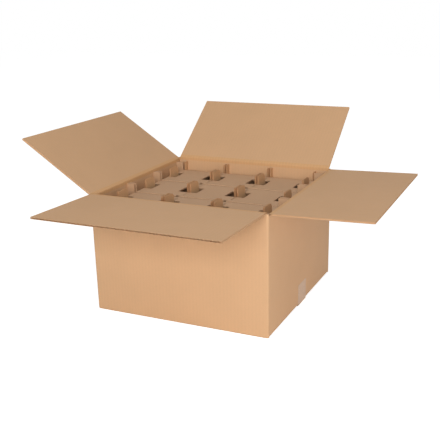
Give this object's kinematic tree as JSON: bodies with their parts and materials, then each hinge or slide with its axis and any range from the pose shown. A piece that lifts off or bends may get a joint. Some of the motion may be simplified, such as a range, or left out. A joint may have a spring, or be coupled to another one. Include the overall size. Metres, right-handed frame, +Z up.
{
  "type": "bottle shipping box",
  "caption": "Open corrugated carton with four hinged top flaps and a nested grid of trays and covers that holds bottles apart.",
  "frame": {"origin": "centre of the carton's underside", "axes": "+Z up, X left to right along the front face, +Y from the front face to the back"},
  "size_m": [0.7468, 0.742, 0.367],
  "materials": {
    "carton_board": "matt kraft liner",
    "insert_board": "matt greyer kraft liner",
    "tape": "clear packing tape"
  },
  "bodies": {
    "carton": {"carton": "carton_board", "bottom_tape": "tape", "left_tray": "insert_board", "middle_tray": "insert_board", "right_tray": "insert_board", "front_cover": "insert_board", "middle_cover": "insert_board", "rear_cover": "insert_board"},
    "front_flap": {"front_flap": "carton_board"},
    "back_flap": {"back_flap": "carton_board"},
    "left_flap": {"left_flap": "carton_board"},
    "right_flap": {"right_flap": "carton_board"}
  },
  "joints": [
    {"name": "front_flap_hinge", "type": "hinge", "parent": "carton", "child": "front_flap", "pos_m": [0, -0.195, 0.25], "axis": [-1, 0, 0], "range_deg": [-89.6, 178.4]},
    {"name": "back_flap_hinge", "type": "hinge", "parent": "carton", "child": "back_flap", "pos_m": [0, 0.195, 0.25], "axis": [1, 0, 0], "range_deg": [-123.9, 144.1]},
    {"name": "left_flap_hinge", "type": "hinge", "parent": "carton", "child": "left_flap", "pos_m": [-0.195, 0, 0.2461], "axis": [0, 1, 0], "range_deg": [-121.4, 146.6]},
    {"name": "right_flap_hinge", "type": "hinge", "parent": "carton", "child": "right_flap", "pos_m": [0.195, 0, 0.2461], "axis": [0, -1, 0], "range_deg": [-89.6, 178.4]}
  ]
}
